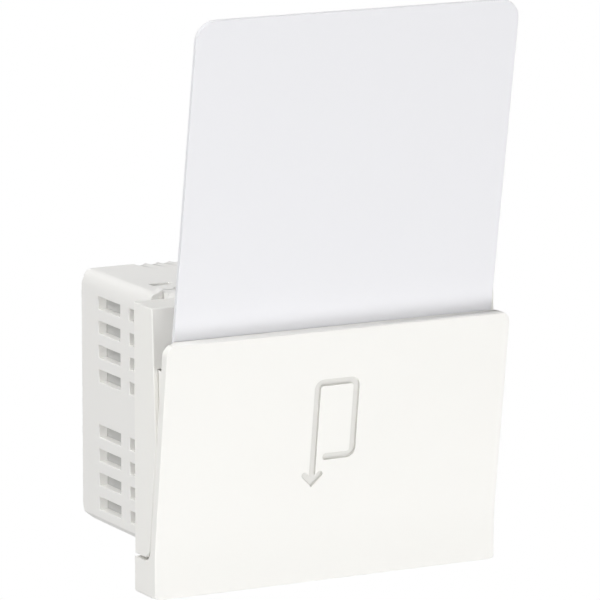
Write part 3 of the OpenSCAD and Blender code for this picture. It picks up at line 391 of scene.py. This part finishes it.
# %% Circuit board finish
TRACK_SCALE = 260.0
TRACK_WIDTH = 0.06
TRACK_HEIGHT = 0.03
BOARD_ROUGHNESS = 0.35

board_finish = bpy.data.materials.new("board_laminate")
board_finish.use_nodes = True
board_tree = board_finish.node_tree
board_shader = board_tree.nodes["Principled BSDF"]
board_place = board_tree.nodes.new("ShaderNodeTexCoord")
turn = board_tree.nodes.new("ShaderNodeMapping")
turn.inputs["Rotation"].default_value = (math.radians(90), 0, 0)
tracks = board_tree.nodes.new("ShaderNodeTexBrick")
tracks.inputs["Scale"].default_value = TRACK_SCALE
tracks.inputs["Mortar Size"].default_value = TRACK_WIDTH
tracks.inputs["Color1"].default_value = srgb(18, 92, 56)
tracks.inputs["Color2"].default_value = srgb(22, 100, 60)
tracks.inputs["Mortar"].default_value = srgb(60, 138, 84)
board_bump = board_tree.nodes.new("ShaderNodeBump")
board_bump.inputs["Distance"].default_value = TRACK_HEIGHT * MM
board_shader.inputs["Roughness"].default_value = BOARD_ROUGHNESS
board_tree.links.new(board_place.outputs["Object"], turn.inputs["Vector"])
board_tree.links.new(turn.outputs["Vector"], tracks.inputs["Vector"])
board_tree.links.new(tracks.outputs["Color"], board_shader.inputs["Base Color"])
board_tree.links.new(tracks.outputs["Fac"], board_bump.inputs["Height"])
board_tree.links.new(board_bump.outputs["Normal"], board_shader.inputs["Normal"])
FINISH["board_laminate"] = board_finish
print("board tracks: scale", TRACK_SCALE)

# %% Clear finishes
CLEAR_SHARE = 0.8
ACRYLIC_IOR = 1.49
SWIRL_SCALE = 900.0
SWIRL_GLOSS = 0.1


def clear_plastic(name, colour, roughness):
    """Clear plastic: light goes through it, and fine swirls change its gloss a little."""
    finish = bpy.data.materials.new(name)
    finish.use_nodes = True
    tree = finish.node_tree
    shader = tree.nodes["Principled BSDF"]
    shader.inputs["Base Color"].default_value = colour
    shader.inputs["Transmission Weight"].default_value = CLEAR_SHARE
    shader.inputs["IOR"].default_value = ACRYLIC_IOR
    place = tree.nodes.new("ShaderNodeTexCoord")
    swirl = tree.nodes.new("ShaderNodeTexNoise")
    swirl.inputs["Scale"].default_value = SWIRL_SCALE
    level = tree.nodes.new("ShaderNodeMapRange")
    level.inputs["To Min"].default_value = roughness
    level.inputs["To Max"].default_value = roughness + SWIRL_GLOSS
    tree.links.new(place.outputs["Object"], swirl.inputs["Vector"])
    tree.links.new(swirl.outputs["Fac"], level.inputs["Value"])
    tree.links.new(level.outputs["Result"], shader.inputs["Roughness"])
    return finish


FINISH["lamp_clear"] = clear_plastic("lamp_clear", srgb(214, 240, 250), 0.1)
FINISH["guide_clear"] = clear_plastic("guide_clear", srgb(236, 244, 248), 0.15)
print("finishes:", sorted(FINISH))

# %% [markdown]
# ## Rounding the moulded edges
# A moulded edge is never sharp, and the thin bright lines along the edges in the picture come from their
# rounding. The solids have sharp edges, so each one that shows is copied, its loose triangles are merged
# and flat neighbours dissolved, and chosen edges are bevelled. The copy then stands for the solid.
# A weighted-normal modifier keeps the flat faces flat in the shading.

# %% Slots and bodies of the solids
SLOTS = {entry["node"]: entry["material_slot"] for entry in frame["record"]["subparts"]}
BODY_OF = {node: body for body, nodes in frame["record"]["behaviour"]["bodies"].items() for node in nodes}
print("slots:", len(set(SLOTS.values())), "bodies:", sorted(set(BODY_OF.values())))

# %% Helpers that merge, choose and round
FLAT = math.radians(0.3)
WELD = 0.0005
FACING = 0.9


def merged_copy(node, cut=None):
    """A bmesh of a solid, with its triangles merged into whole faces; cut may mark seams that are kept."""
    shape = bmesh.new()
    shape.from_mesh(frame["nodes"][node].data)
    bmesh.ops.remove_doubles(shape, verts=shape.verts, dist=WELD * MM)
    if cut:
        cut(shape)
    bmesh.ops.dissolve_limit(shape, angle_limit=FLAT, verts=shape.verts, edges=shape.edges, delimit={"SEAM"})
    return shape


def sharp_edges(shape, wanted, least=25):
    """The edges that bend by more than `least` degrees and that `wanted` picks."""
    limit = math.radians(least)
    return [e for e in shape.edges
            if len(e.link_faces) == 2 and e.calc_face_angle() > limit and wanted(e)]


def round_edges(shape, edges, radius_mm, segments=3):
    """Bevel edges to a round of that size."""
    bmesh.ops.bevel(shape, geom=edges, offset=radius_mm * MM, offset_type="OFFSET", segments=segments,
                    profile=0.5, affect="EDGES", clamp_overlap=False, material=-1)


def middle(edge):
    """The middle of an edge, in mm."""
    return (edge.verts[0].co + edge.verts[1].co) / 2 / MM


def faces_towards(edge, direction):
    """Whether one of the edge's faces looks in a direction."""
    return any(face.normal.dot(Vector(direction)) > FACING for face in edge.link_faces)


def bends_out(edge):
    """Whether the edge stands out, like a box's edge, and doesn't lie in a corner."""
    return edge.is_convex


print("points closer than", WELD, "mm are merged")

# %% Helper that makes the finished piece
SHADED_SHARP = math.radians(35)


def stand_for(node, shape, name, *more_finishes):
    """Make a bmesh the piece that stands for a solid, with its finish."""
    mesh = bpy.data.meshes.new(name)
    shape.to_mesh(mesh)
    shape.free()
    for face in mesh.polygons:
        face.use_smooth = True
    mesh.set_sharp_from_angle(angle=SHADED_SHARP)
    piece = bpy.data.objects.new(name, mesh)
    bpy.context.scene.collection.objects.link(piece)
    for finish in (FINISH[SLOTS[node]], *more_finishes):
        piece.data.materials.append(finish)
    even = piece.modifiers.new("even_shading", "WEIGHTED_NORMAL")
    even.keep_sharp = True
    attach(piece, BODY_OF[node])
    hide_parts(node)
    print(name, "faces:", len(mesh.polygons))


print("faces that meet at more than", round(math.degrees(SHADED_SHARP)), "degrees are shaded sharp")

# %% [markdown]
# ## Front panel
# The panel is the face of the switch: a leaning plate with rounded corners and the engraved card sign.
# Its big front face has the sign's holes in it. Four seams round the sign split that face into plain
# pieces, so that no long thin face is left to crease when the rims are bevelled.

# %% Seams round the sign
SIGN_HALF = 6.2
SIGN_LOW = -9.0
SIGN_HIGH = 11.0
SIGN_FRONT = -7.0
WHOLE_FACE = 100
ON_PLANE = 1e-7


def near_sign(place):
    """Whether a place lies within the seams round the sign."""
    return abs(place.x) < SIGN_HALF and SIGN_LOW < place.z < SIGN_HIGH and place.y < SIGN_FRONT


def cut_face(shape, faces, place, direction):
    """Cut faces along a plane, and mark the cut as a seam."""
    parts = set(faces) | {e for f in faces for e in f.edges} | {v for f in faces for v in f.verts}
    made = bmesh.ops.bisect_plane(shape, geom=list(parts), dist=ON_PLANE,
                                  plane_co=Vector(place) * MM, plane_no=direction)
    for item in made["geom_cut"]:
        if isinstance(item, bmesh.types.BMEdge):
            item.seam = True


def cut_round_sign(shape):
    """Cut the front face to both sides of the sign, then above and below it."""
    def front_faces(reach):
        return [f for f in shape.faces
                if f.normal.y < -FACING and abs(f.calc_center_median().x) < reach * MM]
    for side in (-SIGN_HALF, SIGN_HALF):
        cut_face(shape, front_faces(WHOLE_FACE), (side, 0, 0), (1, 0, 0))
    for height in (SIGN_LOW, SIGN_HIGH):
        cut_face(shape, front_faces(SIGN_HALF), (0, 0, height), (0, 0, 1))


panel = merged_copy("front_panel", cut_round_sign)
print("front panel faces:", len(panel.faces))

# %% [markdown]
# The panel ends below in a tray whose two lower side edges are rounded more than its other edges. They
# could be bevelled, but planing them off, one flat after another, leaves all other edges as they are.

# %% Tray edges
TRAY_ROUND = 0.5
TRAY_FLATS = (15, 30, 45, 60, 75)


def trim_tray(shape):
    """Plane off the tray's two lower side edges, one flat after another, until they are nearly round."""
    bottom = min(v.co.z for v in shape.verts)
    reach = max(v.co.x for v in shape.verts)
    for side in (-1, 1):
        for turn in TRAY_FLATS:
            lean = math.radians(turn)
            flat = Vector((side * math.cos(lean), 0, -math.sin(lean)))
            centre = Vector((side * (reach - TRAY_ROUND * MM), 0, bottom + TRAY_ROUND * MM))
            bmesh.ops.bisect_plane(shape, geom=shape.verts[:] + shape.edges[:] + shape.faces[:],
                                   dist=ON_PLANE, plane_co=centre + flat * TRAY_ROUND * MM, plane_no=flat,
                                   clear_outer=True)
            bmesh.ops.holes_fill(shape, edges=[e for e in shape.edges if e.is_boundary], sides=0)


trim_tray(panel)
print("tray edges rounded to", TRAY_ROUND, "mm with flats:", len(TRAY_FLATS))

# %% Panel rims
SIGN_ROUND = 0.04
RIM_ROUND = 0.1
RIM_FRONT = -6.5

sign_rim = sharp_edges(panel, lambda e: near_sign(middle(e)) and bends_out(e)
                       and faces_towards(e, (0, -1, 0)))
round_edges(panel, sign_rim, SIGN_ROUND, 2)
front_rim = sharp_edges(panel, lambda e: not near_sign(middle(e)) and faces_towards(e, (0, -1, 0))
                        and middle(e).y < RIM_FRONT)
round_edges(panel, front_rim, RIM_ROUND, 2)
print("front panel edges rounded:", len(sign_rim), len(front_rim))

# %% [markdown]
# The engraving's floor and walls take a pale grey second material: painted shade that darkens the recess, so
# that the sign can be read on the white panel. It could be a piece of its own, but a second material on
# those faces is enough.

# %% Painted shade in the sign
# Depths in mm below the front face between which the sign's faces take the painted shade
PAINTED_SHADE_FROM, PAINTED_SHADE_TO = 0.1, 0.7

front_face = max((f for f in panel.faces if f.normal.y < -FACING), key=lambda f: f.calc_area())
painted = 0
for face in panel.faces:
    depth = (front_face.verts[0].co - face.calc_center_median()).dot(front_face.normal) / MM
    if near_sign(face.calc_center_median() / MM) and PAINTED_SHADE_FROM < depth < PAINTED_SHADE_TO:
        face.material_index = 1
        painted += 1
print("painted faces:", painted)
stand_for("front_panel", panel, "front_panel_moulding", SIGN_PAINTED_SHADE)

# %% [markdown]
# ## Carrier
# The carrier is the thick plate behind the panel. Its left side shows, with a kink where the panel
# comes close, and a thin bright line runs along its edges. The edges of its two sides and the front edge
# of its top are bevelled, and the others, which hardly show, stay as they are.

# %% Carrier
SIDE_X = 28.9
TOP_Z = 22.0
CARRIER_ROUND = 0.2

carrier = merged_copy("front_carrier")
carrier_rim = sharp_edges(carrier, lambda e: abs(middle(e).x) > SIDE_X or (
    faces_towards(e, (0, -1, 0)) and faces_towards(e, (0, 0, 1)) and middle(e).z > TOP_Z))
round_edges(carrier, carrier_rim, CARRIER_ROUND)
print("carrier edges rounded:", len(carrier_rim))
stand_for("front_carrier", carrier, "front_carrier_moulding")

# %% [markdown]
# ## Key card
# A plain plastic card, 0.76 mm thick, punched from a sheet: its edges are only just broken. One small
# bevel round both faces is enough for that.

# %% Key card
CARD_ROUND = 0.1

card = merged_copy("key_card")
card_rim = sharp_edges(card, lambda e: True)
round_edges(card, card_rim, CARD_ROUND, 2)
print("card edges rounded:", len(card_rim))
stand_for("key_card", card, "plain_key_card")

# %% [markdown]
# ## Rear cover and neck
# The vented box goes into the wall. Its outer edges that stand out are broken a little: the box's own
# edges, and those of the vents and windows. The grip grooves on top keep theirs, and so do the inner ends
# of the vents. Where bevels meet, a few faces without any size are left, and these are dissolved.

# %% Rear cover and neck
BOX_ROUND = 0.12
GRIP_Y = 27.0
GRIP_X = 13.0
GRIP_Z = 19.0
SKIN = 0.6
SLIVER = 0.002

cover_low, cover_high = (Vector(corner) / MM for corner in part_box("rear_cover"))


def in_grip(place):
    """Whether a place lies among the grip grooves."""
    return place.y > GRIP_Y and abs(place.x) < GRIP_X and place.z > GRIP_Z


def on_outside(place):
    """Whether a place lies on the outside of the box, and not at the inner end of a vent."""
    return min(place.x - cover_low.x, cover_high.x - place.x, cover_high.y - place.y,
               place.z - cover_low.z, cover_high.z - place.z) < SKIN


cover = merged_copy("rear_cover")
cover_rim = sharp_edges(cover, lambda e: bends_out(e) and on_outside(middle(e))
                        and not in_grip(middle(e)))
round_edges(cover, cover_rim, BOX_ROUND, 2)
bmesh.ops.dissolve_degenerate(cover, dist=SLIVER * MM, edges=cover.edges)
stand_for("rear_cover", cover, "rear_cover_moulding")

neck = merged_copy("mounting_neck")
neck_rim = sharp_edges(neck, bends_out)
round_edges(neck, neck_rim, BOX_ROUND, 2)
stand_for("mounting_neck", neck, "mounting_neck_moulding")
print("edges rounded:", len(cover_rim), len(neck_rim))

# %% [markdown]
# ## Return springs
# Each return spring is one wire wound round an axis that leans like the card. A small circle is spun
# about that axis and moved along it a little at every step, which is how a coil winder works too. In the
# switch the upper end hangs from a post and the lower end goes up with the carriage; here the coil keeps one
# length.

# %% Return springs
CARD_LEAN = math.radians(9.6)
SPRING_TURNS = 9
STEPS_PER_TURN = 24
SPRING_LENGTH = 10.35
SPRING_RADIUS = 1.05
WIRE_RADIUS = 0.2
WIRE_SIDES = 12

spring_low, spring_high = (Vector(corner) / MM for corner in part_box("return_springs"))
card_axis = Vector((0, -math.sin(CARD_LEAN), math.cos(CARD_LEAN)))
spring_middle = (spring_low + spring_high) / 2
spring_x = spring_high.x - SPRING_RADIUS - WIRE_RADIUS
steps = SPRING_TURNS * STEPS_PER_TURN
climb = (SPRING_LENGTH - 2 * WIRE_RADIUS) / steps
for side, name in ((-1, "left_return_spring"), (1, "right_return_spring")):
    coil = bmesh.new()
    ring = bmesh.ops.create_circle(coil, cap_ends=False, segments=WIRE_SIDES, radius=WIRE_RADIUS)["verts"]
    stand = Matrix.Translation((SPRING_RADIUS, 0, WIRE_RADIUS)) @ Matrix.Rotation(math.pi / 2, 4, "X")
    bmesh.ops.transform(coil, matrix=stand, verts=ring)
    bmesh.ops.spin(coil, geom=coil.verts[:] + coil.edges[:], cent=(0, 0, 0), axis=(0, 0, 1),
                   dvec=(0, 0, climb), angle=side * 2 * math.pi * SPRING_TURNS, steps=steps, use_merge=False)
    bmesh.ops.holes_fill(coil, edges=[e for e in coil.edges if e.is_boundary], sides=0)
    bmesh.ops.recalc_face_normals(coil, faces=coil.faces)
    height = max(v.co.z for v in coil.verts)
    foot = Vector((side * spring_x, spring_middle.y, spring_middle.z)) - card_axis * SPRING_LENGTH / 2
    lean = Matrix.Scale(MM, 4) @ Matrix.Translation(foot) @ Matrix.Rotation(CARD_LEAN, 4, "X")
    bmesh.ops.transform(coil, matrix=lean, verts=coil.verts)
    mesh = bpy.data.meshes.new(name)
    coil.to_mesh(mesh)
    coil.free()
    for face in mesh.polygons:
        face.use_smooth = True
    spring = bpy.data.objects.new(name, mesh)
    spring.data.materials.append(FINISH["spring_steel"])
    bpy.context.scene.collection.objects.link(spring)
    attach(spring, BODY_OF["return_springs"])
    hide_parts("return_springs")
    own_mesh(spring)
    print(name, "length in mm:", round(height, 2), "faces:", len(mesh.polygons))

# %% [markdown]
# ## Pieces inside
# The bigger pieces inside the box are moulded or cast too, so their edges are rounded by an amount that
# suits each one. Only faces that are wide enough take part, so that thin legs keep their shape.

# %% Soften the pieces inside
SOFT_EDGES = {
    "card_carriage": 0.15, "insulating_liners": 0.1, "circuit_board": 0.1, "microswitch_body": 0.2,
    "power_relay": 0.3, "film_capacitor": 0.5, "bridge_rectifier": 0.2, "timer_chip": 0.1,
    "terminal_block": 0.15, "terminal_clamps": 0.1,
}
WIDE_ENOUGH = 3
LEAST_BEND = 40


def wide_face(face, least_mm):
    """Whether a face is wider than a size everywhere but at its ends."""
    return face.calc_area() / max(e.calc_length() for e in face.edges) > least_mm * MM


for node, radius in SOFT_EDGES.items():
    shape = merged_copy(node)
    rim = sharp_edges(shape, lambda e: bends_out(e) and all(wide_face(f, WIDE_ENOUGH * radius)
                                                            for f in e.link_faces), LEAST_BEND)
    round_edges(shape, rim, radius, 2)
    stand_for(node, shape, node + "_softened")

# %% [markdown]
# The small pieces keep their solids' shapes: screws, legs, the plunger and the round components have
# their rounding already. Each one gets its finish by its slot.

# %% Finishes for the solids that stay
for node, solid in frame["nodes"].items():
    if solid.hide_render:
        continue
    solid.data.materials.clear()
    solid.data.materials.append(FINISH[SLOTS[node]])
print("solids with a new finish:", sum(not o.hide_render for o in frame["nodes"].values()))
